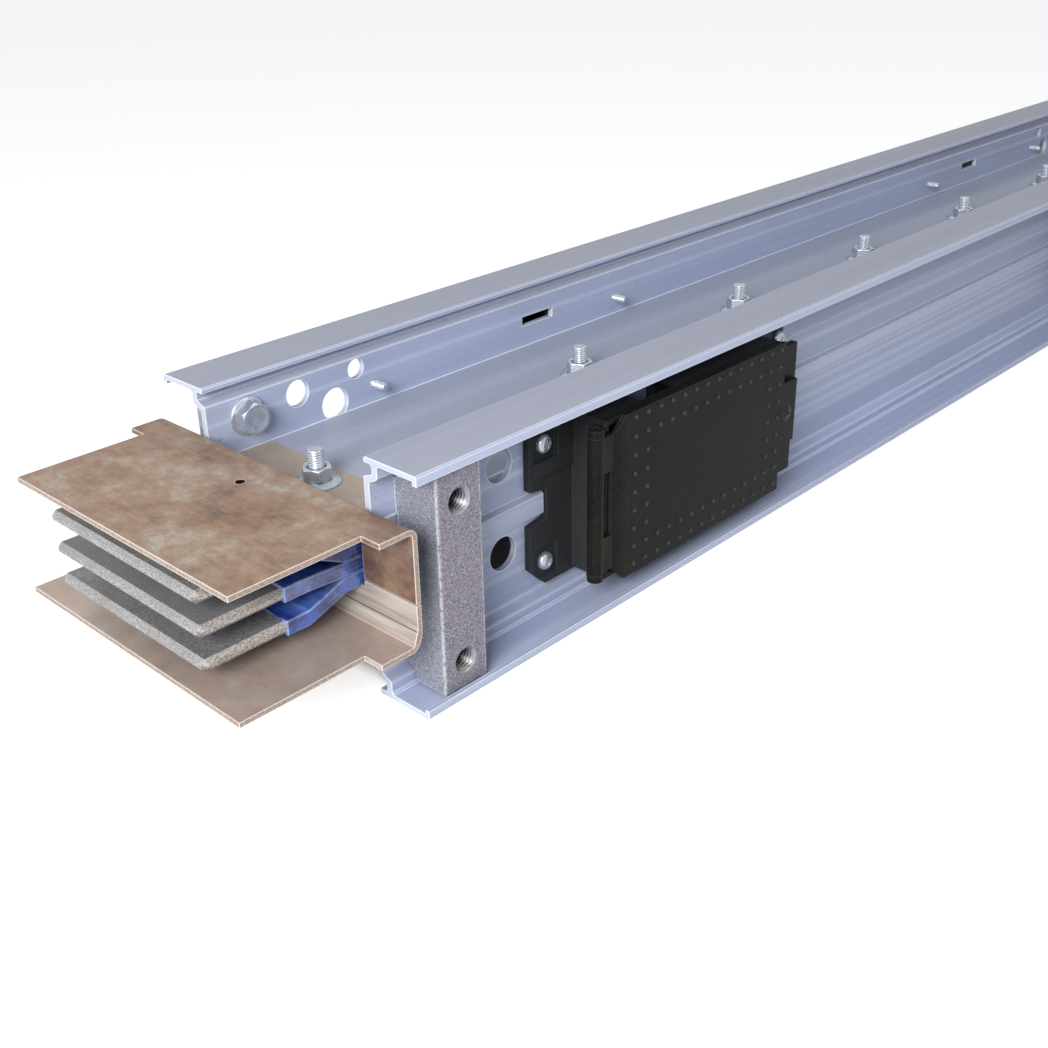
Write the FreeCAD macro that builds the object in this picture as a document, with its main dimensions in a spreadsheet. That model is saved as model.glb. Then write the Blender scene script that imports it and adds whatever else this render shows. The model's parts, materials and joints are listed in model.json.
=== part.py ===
import FreeCAD, Part
import math
import os
import re
import Sketcher

doc = FreeCAD.newDocument("busway_section")
sheet = doc.addObject("Spreadsheet::Sheet", "sizes")

# Driving sizes in millimetres
SIZES = {
    # Side rails: depths are taken from the outer edge, reaches from a rail end, drops from the top
    # and rises from the bottom of the rail
    "rail_length": 1016.0,
    "rail_height": 117.0,
    "overall_width": 180.0,
    "flange_width": 32.0,
    "flange_wall": 2.6,
    "flange_round": 0.9,
    "root_fillet": 1.2,
    "lip_drop": 4.6,
    "lip_wall": 2.4,
    "stem_depth": 24.0,
    "stem_wall": 3.2,
    "web_depth": 29.6,
    "web_wall": 3.2,
    "inner_jog_start": 6.7,
    "inner_jog_end": 9.6,
    "outer_jog_start": 8.4,
    "outer_jog_end": 12.2,
    "rib_base": 14.0,
    "rib_crest": 10.0,
    "rib_rise": 2.6,
    "line_drop": 31.0,
    "line_pitch": 7.0,
    "line_rise": 0.6,
    "hole_a_reach": 54.0,
    "hole_a_drop": 18.0,
    "hole_a_size": 14.0,
    "hole_b_reach": 77.0,
    "hole_b_drop": 30.5,
    "hole_b_size": 17.0,
    "hole_c_reach": 92.0,
    "hole_c_drop": 15.5,
    "hole_c_size": 10.5,
    "hole_d_reach": 78.0,
    "hole_d_rise": 40.3,
    "hole_d_size": 17.5,
    "key_slot_shift": 27.8,
    "key_slot_length": 26.0,
    "key_slot_height": 5.4,
    "key_slot_drop": 22.0,
    # Covers of the sandwich, folded from sheet
    "sheet_wall": 2.5,
    "sandwich_shift": 8.5,
    "cover_play": 0.2,
    "side_play": 0.3,
    "top_tongue_rise": 26.95,
    "top_tongue_reach": 85.0,
    "top_wing_reach": 21.0,
    "top_fold_run": 3.2,
    "top_fold_rise": 3.2,
    "bottom_tongue_rise": 28.0,
    "bottom_tongue_reach": 87.0,
    "bottom_wing_reach": 24.0,
    "bottom_fold_run": 3.8,
    "bottom_fold_rise": 9.0,
    "tongue_inset": 11.0,
    "riser_offset": 2.2,
    "seam_drop": 7.6,
    "seam_gap": 0.8,
    "pin_hole_reach": 22.5,
    "pin_hole_size": 4.6,
    # Busbars and their insulation
    "bar_gap": 2.7,
    "bar_wall": 6.0,
    "bar_pitch": 7.2,
    "bar_spread": 15.6,
    "bar_shift": 1.3,
    "bar_reach": 84.5,
    "bar_bevel": 1.9,
    "joggle_start": 12.0,
    "joggle_end": 32.0,
    "insulation_wall": 0.55,
    "insulation_reach": 44.0,
    # End blocks and their bolts
    "block_inset": 13.5,
    "block_length": 26.0,
    "block_recess": 3.5,
    "block_clear": 1.2,
    "thread_bore": 10.3,
    "thread_drop": 21.2,
    "thread_rise": 17.0,
    "thread_depth": 12.0,
    "thread_point": 3.1,
    "bolt_size": 10.0,
    "bolt_play": 0.5,
    "bolt_reach": 23.0,
    "bolt_drop": 20.0,
    "bolt_rise": 32.0,
    "bolt_grip": 8.0,
    "flange_head": 20.0,
    "flange_rise": 2.0,
    "hex_head": 15.0,
    "hex_rise": 8.5,
    # Bolts through the sandwich
    "clamp_size": 8.0,
    "clamp_end": 19.0,
    "clamp_first": 203.2,
    "clamp_step": 152.4,
    "clamp_proud": 8.0,
    "clamp_hex": 13.0,
    "clamp_nut_rise": 6.5,
    "clamp_head_rise": 5.3,
    "clamp_play": 0.5,
    "washer_size": 22.5,
    "washer_top": 16.0,
    "washer_wall": 2.0,
    "clamp_bore": 14.0,
    # Plug-in outlets: lefts, rights and reaches run along the rail from the middle of the outlet
    "outlet_inset": 203.2,
    "base_left": 110.2,
    "base_right": 105.0,
    "base_drop": 20.0,
    "base_rise": 15.3,
    "base_wall": 4.0,
    "base_chamfer": 10.0,
    "notch_mouth": 19.0,
    "notch_end": 15.2,
    "notch_depth": 11.8,
    "mill_play": 0.8,
    "pocket_size": 16.0,
    "pocket_depth": 1.5,
    "panel_rise": 1.4,
    "panel_shift": 16.0,
    "panel_inset": 3.0,
    "box_left": 80.0,
    "box_right": 69.0,
    "box_inset": 16.5,
    "box_depth": 24.8,
    "box_wall": 2.5,
    "box_floor": 5.0,
    "window_half": 52.0,
    "window_rise": 46.0,
    "window_drop": 37.5,
    "slot_width": 16.0,
    "slot_height": 23.0,
    "slot_step": 25.0,
    "vent_left": 48.0,
    "vent_right": 18.0,
    "vent_slope": 9.0,
    "vent_height": 15.0,
    "vent_depth": 20.0,
    "latch_reach": 84.5,
    "latch_inset": 20.5,
    "latch_wall": 4.0,
    "door_play": 0.3,
    "door_wall": 3.0,
    "door_left": 77.5,
    "door_right": 68.8,
    "door_drop": 15.8,
    "door_rise": 13.4,
    "door_corner": 9.0,
    "door_round": 9.5,
    "tab_half": 18.5,
    "tab_reach": 82.0,
    "leaf_back": 0.6,
    "leaf_inset": 0.5,
    "leaf_height": 18.5,
    "hinge_reach": 86.0,
    "barrel_size": 8.0,
    "barrel_inset": 22.2,
    "ear_gap": 0.4,
    "ear_wall": 3.4,
    "ear_reach": 66.0,
    "ear_depth": 6.3,
    "pivot_size": 4.0,
    "pivot_play": 0.3,
    "pivot_reach": 3.6,
    "screw_spread": 99.3,
    "screw_inset": 27.2,
    "screw_head": 9.6,
    "screw_size": 5.0,
    "screw_dome": 3.2,
    "screw_tip": 9.0,
    "lock_reach": 73.4,
    "lock_head": 9.4,
    "lock_dome": 1.2,
    "lock_size": 3.0,
    "lock_tip": 3.0,
    "lock_slot": 1.4,
    "lock_slot_depth": 0.8,
    "hole_play": 0.4,
    # How far a cutting tool runs past the faces that it cuts
    "over": 1.0,
}

for row, (alias, size) in enumerate(SIZES.items(), start=1):
    sheet.set("A%d" % row, alias)
    sheet.set("B%d" % row, repr(size))
    sheet.setAlias("B%d" % row, alias)
doc.recompute()

# Distances that follow from the driving sizes, measured outwards from the middle planes
END = "(rail_length / 2)"
RIB = "(rail_height / 2)"
STACK = "(rail_height / 2 + sandwich_shift)"
EDGE = "(overall_width / 2)"
TIP = "(overall_width / 2 - flange_width)"
STEM = "(overall_width / 2 - stem_depth)"
WEB = "(overall_width / 2 - web_depth)"
WEB_BACK = "(overall_width / 2 - web_depth - web_wall)"
BLOCK_FACE = "(overall_width / 2 - block_recess)"
COVER_HALF = "(overall_width / 2 - web_depth - web_wall - side_play)"
BAR_HALF = "(overall_width / 2 - web_depth - web_wall - bar_gap)"
STACK_HALF = "(bar_pitch + bar_wall / 2 + insulation_wall + cover_play + sheet_wall)"
BOX_FRONT = "(overall_width / 2 - web_depth + box_depth)"
DOOR_BACK = "(overall_width / 2 - web_depth + box_depth + door_play)"
DOOR_FACE = "(overall_width / 2 - web_depth + box_depth + door_play + door_wall)"
BOX_HALF = "(rail_height / 2 - box_inset)"
LATCH_HALF = "(rail_height / 2 - latch_inset)"
BARREL_HALF = "(rail_height / 2 - barrel_inset)"
WINDOW_HEIGHT = "(rail_height - window_rise - window_drop)"

WORD = re.compile(r"[a-z_]+")


def bound(expression):
    """An expression in plain size names, with each name pointed at the sheet."""
    return WORD.sub(lambda m: "sizes." + m.group() if m.group() in SIZES else m.group(), expression)


def value(expression):
    """The number that an expression stands for now."""
    answer = sheet.evalExpression(bound(expression))
    return float(getattr(answer, "Value", answer))


def bind(thing, **properties):
    """Tie properties such as Length or Placement_Base_x to the sheet."""
    for name, expression in properties.items():
        path = name.replace("_", ".") if name.startswith("Placement") else name
        thing.setExpression(path, bound(expression))
    return thing


def box(name, x, y, z, length, width, height):
    """A block with its low corner at x, y, z."""
    solid = doc.addObject("Part::Box", name)
    return bind(solid, Length=length, Width=width, Height=height,
                Placement_Base_x=x, Placement_Base_y=y, Placement_Base_z=z)


UPRIGHT = FreeCAD.Rotation()
FORWARD = FreeCAD.Rotation(FreeCAD.Vector(1, 0, 0), 90)
BACKWARD = FreeCAD.Rotation(FreeCAD.Vector(1, 0, 0), -90)
DOWNWARD = FreeCAD.Rotation(FreeCAD.Vector(1, 0, 0), 180)


def cylinder(name, x, y, z, radius, height, rotation=UPRIGHT):
    """A round bar that starts at x, y, z and runs up, or the way its rotation says."""
    solid = doc.addObject("Part::Cylinder", name)
    solid.Placement.Rotation = rotation
    return bind(solid, Radius=radius, Height=height,
                Placement_Base_x=x, Placement_Base_y=y, Placement_Base_z=z)


def cone(name, x, y, z, start_radius, end_radius, height, rotation=UPRIGHT):
    """A cone's frustum that starts at x, y, z."""
    solid = doc.addObject("Part::Cone", name)
    solid.Placement.Rotation = rotation
    return bind(solid, Radius1=start_radius, Radius2=end_radius, Height=height,
                Placement_Base_x=x, Placement_Base_y=y, Placement_Base_z=z)


# A hexagonal head's flat crown, as a share of its size across flats
CROWN_SHARE = 0.95


def hexagon(name, x, y, z, across_flats, height, rotation=UPRIGHT):
    """A hexagonal head or nut given by its size across flats, its far corners chamfered at 30 degrees."""
    prism = doc.addObject("Part::Prism", name + "_prism")
    prism.Polygon = 6
    prism.Placement.Rotation = rotation
    bind(prism, Circumradius="(%s) / sqrt(3)" % across_flats, Height=height,
         Placement_Base_x=x, Placement_Base_y=y, Placement_Base_z=z)
    tip = "%s * (%s) / 2" % (CROWN_SHARE, across_flats)
    taper = cone(name + "_taper", x, y, z, tip + " + sqrt(3) * (%s)" % height, tip, height, rotation)
    solid = doc.addObject("Part::MultiCommon", name)
    solid.Shapes = [prism, taper]
    return solid


def fused(name, solids):
    """Several touching solids as one."""
    result = doc.addObject("Part::MultiFuse", name)
    result.Shapes = solids
    result.Refine = True
    return result


def cut(name, base, tools):
    """A solid less the tools."""
    result = doc.addObject("Part::Cut", name)
    result.Base = base
    result.Tool = tools[0] if len(tools) == 1 else fused(name + "_tools", tools)
    result.Refine = True
    return result


def plane_of(body, role):
    """The body's own origin plane with that role."""
    return [item for item in body.Origin.OriginFeatures if item.Role == role][0]


def outline(body, name, role, points, offset="0"):
    """A closed sketch on an origin plane, each corner tied to the sheet."""
    sketch = body.newObject("Sketcher::SketchObject", name)
    sketch.AttachmentSupport = (plane_of(body, role), [""])
    sketch.MapMode = "FlatFace"
    sketch.setExpression("AttachmentOffset.Base.z", bound(offset))
    spots = [FreeCAD.Vector(value(u), value(v), 0) for u, v in points]
    count = len(points)
    for k in range(count):
        sketch.addGeometry(Part.LineSegment(spots[k], spots[(k + 1) % count]), False)
    for k in range(count):
        sketch.addConstraint(Sketcher.Constraint("Coincident", k, 2, (k + 1) % count, 1))
    for k, (u, v) in enumerate(points):
        for kind, expression in (("DistanceX", u), ("DistanceY", v)):
            number = sketch.addConstraint(
                Sketcher.Constraint(kind, -1, 1, k, 1, value(expression)))
            sketch.setExpression("Constraints[%d]" % number, bound(expression))
    return sketch


def pad(body, name, sketch, length, middle=False):
    """Thicken a sketch."""
    feature = body.newObject("PartDesign::Pad", name)
    feature.Profile = sketch
    feature.Length = value(length)
    feature.setExpression("Length", bound(length))
    feature.Midplane = middle
    return feature


def finish(feature, label, turned=False):
    """Give a finished sub-part its label and its place: turned is half round, for the rear rail."""
    feature.Label = label
    if turned:
        feature.Placement.Rotation = FreeCAD.Rotation(FreeCAD.Vector(0, 0, 1), 180)
    nodes.append(feature)
    return feature


nodes = []
SCREW_SPOTS = [(u, v) for u in ("-screw_spread", "screw_spread")
               for v in ("screw_inset", "rail_height - screw_inset")]
BOLTS = [("upper", "rail_height - bolt_drop"), ("lower", "bolt_rise")]
THREADS = [("upper", "rail_height - thread_drop"), ("lower", "thread_rise")]
WEB_HOLES = [("hole_a", "rail_height - hole_a_drop"), ("hole_b", "rail_height - hole_b_drop"),
             ("hole_c", "rail_height - hole_c_drop"), ("hole_d", "hole_d_rise")]
BENDS = [0.0, 0.2, 0.4, 0.6, 0.8, 1.0]

# Rails: the section is drawn for the front rail, at negative Y


def between(low, high, share):
    """A point that far along from one expression to another."""
    return "((%s) + ((%s) - (%s)) * %.4f)" % (low, high, low, share)


def bend(start_u, end_u, start_v, end_v):
    """A smooth double bend that leaves and arrives upright."""
    return [(between(start_u, end_u, t * t * (3 - 2 * t)), between(start_v, end_v, t)) for t in BENDS]


def rail_outline():
    """Corners of the extrusion's section, from the top inner flange tip round."""
    wall = "flange_wall"
    outer = [
        ("-" + TIP, "flange_round"),
        ("-" + TIP + " - flange_round", "0"),
        ("-" + EDGE + " + flange_round", "0"),
        ("-" + EDGE, "flange_round"),
        ("-" + EDGE, "lip_drop"),
        ("-" + EDGE + " + lip_wall", "lip_drop"),
        ("-" + EDGE + " + lip_wall", wall),
        ("-" + STEM + " - root_fillet", wall),
        ("-" + STEM, wall + " + root_fillet"),
    ] + bend("-" + STEM, "-" + WEB, "outer_jog_start", "outer_jog_end")
    inner = [
        ("-" + TIP, wall),
        ("-" + STEM + " + stem_wall + root_fillet", wall),
        ("-" + STEM + " + stem_wall", wall + " + root_fillet"),
    ] + bend("-" + STEM + " + stem_wall", "-" + WEB_BACK, "inner_jog_start", "inner_jog_end")
    ridges = []
    for line in ("rail_height - line_drop", "rail_height - line_drop - line_pitch"):
        ridges += [
            ("-" + WEB, line + " + line_rise"),
            ("-" + WEB + " - line_rise", line),
            ("-" + WEB, line + " - line_rise"),
        ]
    rib = [
        ("-" + WEB, RIB + " + rib_base / 2"),
        ("-" + WEB + " - rib_rise", RIB + " + rib_crest / 2"),
        ("-" + WEB + " - rib_rise", RIB + " - rib_crest / 2"),
        ("-" + WEB, RIB + " - rib_base / 2"),
    ]
    upper = [(u, "rail_height - (%s)" % v) for u, v in outer]
    inner_upper = [(u, "rail_height - (%s)" % v) for u, v in reversed(inner)]
    return upper + ridges + rib + outer[::-1] + inner + inner_upper


def rail(label, turned):
    """One side rail with its holes, windows and milled rib."""
    body = doc.addObject("PartDesign::Body", label + "_body")
    section = outline(body, label + "_section", "YZ_Plane", rail_outline(), "-" + END)
    pad(body, label + "_extrusion", section, "rail_length")
    tools = []
    deep = "web_wall + rib_rise + 2 * over"
    start = "-" + WEB_BACK + " + over"
    face = "-" + WEB + " - rib_rise - over"
    for end, sign in (("a", "-"), ("b", "")):
        centre = "%s(rail_length / 2 - outlet_inset)" % sign
        tools.append(box("%s_window_%s" % (label, end), centre + " - window_half", face, "window_rise",
                         "2 * window_half", deep, WINDOW_HEIGHT))
        tools.append(box("%s_mill_%s" % (label, end), centre + " - base_left + notch_depth - mill_play",
                         face, RIB + " - rib_base",
                         "base_left + base_right - 2 * notch_depth + 2 * mill_play",
                         "rib_rise + over", "2 * rib_base"))
        tools.append(box("%s_skim_%s" % (label, end), centre + " - base_left - mill_play",
                         "-%s - line_rise - over" % WEB,
                         "rail_height - line_drop - line_pitch - line_rise - hole_play",
                         "base_left + base_right + 2 * mill_play", "line_rise + over",
                         "line_pitch + 2 * line_rise + 2 * hole_play"))
        for k, (u, v) in enumerate(SCREW_SPOTS):
            tools.append(cylinder("%s_screw_hole_%s%d" % (label, end, k), centre + " + " + u, start,
                                  v, "(screw_size + hole_play) / 2", deep, FORWARD))
        for hole, height in WEB_HOLES:
            tools.append(cylinder("%s_%s_%s" % (label, hole, end),
                                  "%s(rail_length / 2 - %s_reach)" % (sign, hole), start,
                                  height, hole + "_size / 2", deep, FORWARD))
        tools.append(box("%s_key_slot_%s" % (label, end),
                         "%s(rail_length / 2 - outlet_inset - key_slot_shift) - key_slot_length / 2"
                         % sign, "-" + WEB + " - over", "rail_height - key_slot_drop - key_slot_height / 2",
                         "key_slot_length", "web_wall + 2 * over", "key_slot_height"))
        for place, height in BOLTS:
            tools.append(cylinder("%s_%s_bolt_hole_%s" % (label, place, end),
                                  "%s(rail_length / 2 - bolt_reach)" % sign, start, height,
                                  "(bolt_size + bolt_play) / 2", deep, FORWARD))
    return finish(cut(label, body, tools), label, turned=turned)


rail("front_rail", False)
rail("rear_rail", True)


def fold_curve(side, sign, steps, high, offset):
    """One face of the fold between a tongue and its wall: offset is its distance from mid sheet."""
    run = "(%s_fold_run + %s)" % (side, offset)
    drop = "(%s_fold_rise + %s)" % (side, offset)
    points = []
    for k in range(steps + 1):
        angle = math.pi / 2 * k / steps
        x = "%s + riser_offset - %s + %s * %.4f" % (END, offset, run, 1 - math.sin(angle))
        z = "%s %s (%s - %s * %.4f)" % (high, sign, offset, drop, 1 - math.cos(angle))
        points.append((x, z))
    return points


def cover(label, side, sign, outer_steps, inner_steps):
    """One folded cover: a flat sheet, and at each end two wings and a tongue."""
    body = doc.addObject("PartDesign::Body", label + "_body")
    away = "-" if sign == "+" else "+"
    flat = "(%s %s (%s - sheet_wall / 2))" % (STACK, sign, STACK_HALF)
    high = "(%s %s %s_tongue_rise)" % (STACK, sign, side)
    wall = "(rail_length / 2 + riser_offset)"
    strip = [
        ("-%s - sheet_wall / 2" % wall, flat + " - sheet_wall / 2"),
        ("%s + sheet_wall / 2" % wall, flat + " - sheet_wall / 2"),
        ("%s + sheet_wall / 2" % wall, flat + " + sheet_wall / 2"),
        ("-%s - sheet_wall / 2" % wall, flat + " + sheet_wall / 2"),
    ]
    sketch = outline(body, label + "_strip", "XZ_Plane", strip)
    pad(body, label + "_flat", sketch, "2 * " + COVER_HALF, middle=True)
    bottom = "(%s %s %s_fold_rise)" % (high, away, side)
    seam = "(%s - seam_drop %s seam_gap / 2)" % (STACK, sign)
    slit = "(%s %s sheet_wall / 2)" % (flat, away)
    for end, turn in (("a", "-1 * "), ("b", "")):
        fold = [(END + " + %s_wing_reach" % side, "%s %s sheet_wall / 2" % (high, sign))]
        fold += fold_curve(side, sign, outer_steps, high, "sheet_wall / 2")
        fold += fold_curve(side, sign, inner_steps, high, "-1 * sheet_wall / 2")[::-1]
        fold.append((END + " + %s_wing_reach" % side, "%s %s sheet_wall / 2" % (high, away)))
        fold = [("%s(%s)" % (turn, u), v) for u, v in fold]
        sketch = outline(body, "%s_fold_%s" % (label, end), "XZ_Plane", fold)
        pad(body, "%s_wing_%s" % (label, end), sketch, "overall_width", middle=True)
        tongue = [
            ("rail_length / 2 + riser_offset + %s_fold_run" % side, "-%s + tongue_inset" % EDGE),
            ("rail_length / 2 + %s_tongue_reach" % side, "-%s + tongue_inset" % EDGE),
            ("rail_length / 2 + %s_tongue_reach" % side, "%s - tongue_inset" % EDGE),
            ("rail_length / 2 + riser_offset + %s_fold_run" % side, "%s - tongue_inset" % EDGE),
        ]
        tongue = [("%s(%s)" % (turn, u), v) for u, v in tongue]
        sketch = outline(body, "%s_tongue_%s" % (label, end), "XY_Plane", tongue,
                         high + " - sheet_wall / 2")
        pad(body, "%s_plate_%s" % (label, end), sketch, "sheet_wall")
        riser = [
            ("-" + EDGE, bottom),
            (EDGE, bottom),
            (EDGE, seam),
            (COVER_HALF, seam),
            (COVER_HALF, slit),
            ("-" + COVER_HALF, slit),
            ("-" + COVER_HALF, seam),
            ("-" + EDGE, seam),
        ]
        sketch = outline(body, "%s_riser_%s" % (label, end), "YZ_Plane", riser,
                         "%s%s - sheet_wall / 2" % (turn, wall))
        pad(body, "%s_wall_%s" % (label, end), sketch, "sheet_wall")
    tools = [cylinder("%s_hole_%d" % (label, k), x, "0", "0", "clamp_size / 2 + clamp_play",
                      "rail_height") for k, x in enumerate(CLAMP_PLACES, start=1)]
    if side == "top":
        for end, turn in (("a", "-"), ("b", "")):
            tools.append(cylinder("%s_pin_hole_%s" % (label, end),
                                  "%s(rail_length / 2 + pin_hole_reach)" % turn, "0",
                                  high + " - sheet_wall", "pin_hole_size / 2", "2 * sheet_wall"))
    return finish(cut(label, body, tools), label)


CLAMP_PLACES = ["-(rail_length / 2 - clamp_end)"]
CLAMP_PLACES += ["-(rail_length / 2 - clamp_first) + %d * clamp_step" % k for k in range(5)]
CLAMP_PLACES += ["rail_length / 2 - clamp_end"]

cover("top_cover", "top", "+", 4, 4)
cover("bottom_cover", "bottom", "-", 3, 1)


def bar_outline(step, extra, reach, bevel=None):
    """The side view of a bar, joggled towards the sandwich, grown by extra, its noses bevelled."""
    flat = "(%s + %d * bar_pitch)" % (STACK, step)
    spread = "(%s + bar_shift + %d * bar_spread)" % (STACK, step)
    half = "(bar_wall / 2 + %s)" % extra
    run = [
        ("rail_length / 2 + joggle_end", spread, half),
        ("rail_length / 2 + joggle_start", flat, half),
    ]
    if bevel:
        run = [
            ("rail_length / 2 + %s" % reach, spread, "%s - %s" % (half, bevel)),
            ("rail_length / 2 + %s - %s" % (reach, bevel), spread, half),
        ] + run
    else:
        run = [("rail_length / 2 + %s" % reach, spread, half)] + run
    points = []
    for upper in (True, False):
        sign = "+" if upper else "-"
        level = [("%s" % x, "%s %s (%s)" % (z, sign, rise)) for x, z, rise in run]
        mirrored = [("-(%s)" % x, z) for x, z in level]
        points += mirrored + level[::-1] if upper else level + mirrored[::-1]
    return points


def bar(number, step):
    """One busbar with bevelled sides, and its insulation."""
    label = "busbar_%d" % number
    body = doc.addObject("PartDesign::Body", label + "_body")
    side = bar_outline(step, "0", "bar_reach", "bar_bevel")
    sketch = outline(body, label + "_side", "XZ_Plane", side)
    pad(body, label + "_flat", sketch, "2 * (%s - bar_bevel)" % BAR_HALF, middle=True)
    for end, turn in (("near", ""), ("far", "-1 * ")):
        sketch = outline(body, "%s_side_%s" % (label, end), "XZ_Plane", side,
                         "%s(%s - bar_bevel)" % (turn, BAR_HALF))
        edge = pad(body, "%s_edge_%s" % (label, end), sketch, "bar_bevel")
        edge.Reversed = end == "far"
        edge.TaperAngle = -45
    holes = [cylinder("%s_hole_%d" % (label, k), x, "0", "0", "clamp_bore / 2", "rail_height")
             for k, x in enumerate(CLAMP_PLACES, start=1)]
    holes = fused(label + "_holes", holes)
    finish(cut(label, body, [holes]), label)
    label = "insulation_%d" % number
    skin = doc.addObject("PartDesign::Body", label + "_body")
    sketch = outline(skin, label + "_side", "XZ_Plane",
                     bar_outline(step, "insulation_wall", "insulation_reach"))
    pad(skin, label + "_flat", sketch, "2 * (%s + insulation_wall)" % BAR_HALF, middle=True)
    finish(cut(label, skin, [body, holes]), label)


for number, step in ((1, 1), (2, 0), (3, -1)):
    bar(number, step)

# Blocks and outlets are built for the front rail and turned half round for the rear one


def end_block(number, sign, turned):
    """One cast block between the flanges with its threaded bores and two bolts."""
    label = "end_block_%d" % number
    centre = "%s(rail_length / 2 - block_inset - block_length / 2)" % sign
    body = doc.addObject("PartDesign::Body", label + "_body")
    low = [
        ("-" + WEB, "outer_jog_end + block_clear"),
        ("-%s - block_clear" % STEM, "outer_jog_start + block_clear"),
        ("-%s - block_clear" % STEM, "flange_wall + block_clear"),
        ("-" + BLOCK_FACE, "flange_wall + block_clear"),
    ]
    points = low + [(u, "rail_height - (%s)" % v) for u, v in reversed(low)]
    sketch = outline(body, label + "_section", "YZ_Plane", points, centre + " - block_length / 2")
    pad(body, label + "_casting", sketch, "block_length")
    long = centre + " - block_length / 2 - over"
    tools = [
        box(label + "_rib", long, "-%s - rib_rise - hole_play" % WEB, RIB + " - rib_base / 2 - hole_play",
            "block_length + 2 * over", "rib_rise + hole_play + over", "rib_base + 2 * hole_play"),
        box(label + "_lines", long, "-%s - line_rise - hole_play" % WEB,
            "rail_height - line_drop - line_pitch - line_rise - hole_play",
            "block_length + 2 * over", "line_rise + hole_play + over",
            "line_pitch + 2 * line_rise + 2 * hole_play"),
    ]
    for place, height in THREADS:
        tools.append(cylinder("%s_%s_thread" % (label, place), centre,
                              "-%s + thread_depth" % BLOCK_FACE, height,
                              "thread_bore / 2", "thread_depth + over", FORWARD))
        tools.append(cone("%s_%s_point" % (label, place), centre, "-%s + thread_depth" % BLOCK_FACE,
                          height, "thread_bore / 2", "0", "thread_point", BACKWARD))
    place_x = "%s(rail_length / 2 - bolt_reach)" % sign
    for place, height in BOLTS:
        tools.append(cylinder("%s_%s_bolt_hole" % (label, place), place_x, "-%s + over" % WEB, height,
                              "(bolt_size + hole_play) / 2", "bolt_grip + 2 * over", FORWARD))
    finish(cut(label, body, tools), label, turned=turned)
    label = "block_bolts_%d" % number
    bolts = []
    for place, height in BOLTS:
        name = "%s_%s" % (label, place)
        bolts.append(fused(name, [
            cylinder(name + "_shank", place_x, "-" + WEB_BACK, height, "bolt_size / 2",
                     "web_wall + bolt_grip", FORWARD),
            cone(name + "_flange", place_x, "-" + WEB_BACK, height, "flange_head / 2",
                 "hex_head / 2", "flange_rise", BACKWARD),
            hexagon(name + "_hex", place_x, "-" + WEB_BACK, height, "hex_head", "hex_rise",
                    BACKWARD)]))
    finish(fused(label, bolts), label, turned=turned)


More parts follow.
